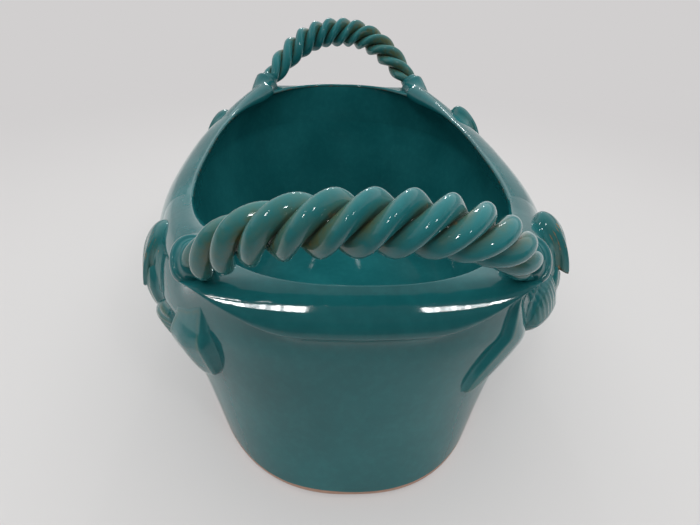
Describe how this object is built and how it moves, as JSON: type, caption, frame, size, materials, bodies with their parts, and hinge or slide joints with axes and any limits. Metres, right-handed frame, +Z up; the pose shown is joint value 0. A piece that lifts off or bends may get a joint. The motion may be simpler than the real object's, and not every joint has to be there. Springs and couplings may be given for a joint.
{
  "type": "planter pot",
  "caption": "Oval glazed planter with a rolled lip at each narrow end, a twisted rope handle leaning out over each lip, and clusters of applied leaves under the handle ends.",
  "frame": {"origin": "centre of the bounding box in plan, at the height of the surface the foot stands on", "axes": "+X along the long axis to the front handle, +Y to the right-hand side as named in the source, +Z up"},
  "size_m": [0.5848, 0.294, 0.2348],
  "materials": {
    "bowl_glaze": "gloss teal glaze",
    "rope_glaze": "gloss teal glaze with an olive-brown wash in the grooves",
    "leaf_glaze": "gloss teal glaze with a brown wash on the ribs",
    "bare_clay": "dry unglazed clay"
  },
  "bodies": {
    "root": {"pot_body": "bowl_glaze", "unglazed_foot": "bare_clay", "front_rope_strand_1": "rope_glaze", "front_rope_strand_2": "rope_glaze", "front_rope_strand_3": "rope_glaze", "rear_rope_strand_1": "rope_glaze", "rear_rope_strand_2": "rope_glaze", "rear_rope_strand_3": "rope_glaze", "front_right_handle_root": "bowl_glaze", "front_right_flower_bud": "leaf_glaze", "front_right_smooth_leaf": "leaf_glaze", "front_right_veined_leaf": "leaf_glaze", "front_right_long_leaf": "leaf_glaze", "front_left_handle_root": "bowl_glaze", "front_left_flower_bud": "leaf_glaze", "front_left_smooth_leaf": "leaf_glaze", "front_left_veined_leaf": "leaf_glaze", "front_left_long_leaf": "leaf_glaze", "rear_right_handle_root": "bowl_glaze", "rear_right_flower_bud": "leaf_glaze", "rear_right_smooth_leaf": "leaf_glaze", "rear_right_veined_leaf": "leaf_glaze", "rear_right_long_leaf": "leaf_glaze", "rear_left_handle_root": "bowl_glaze", "rear_left_flower_bud": "leaf_glaze", "rear_left_smooth_leaf": "leaf_glaze", "rear_left_veined_leaf": "leaf_glaze", "rear_left_long_leaf": "leaf_glaze"}
  },
  "joints": []
}
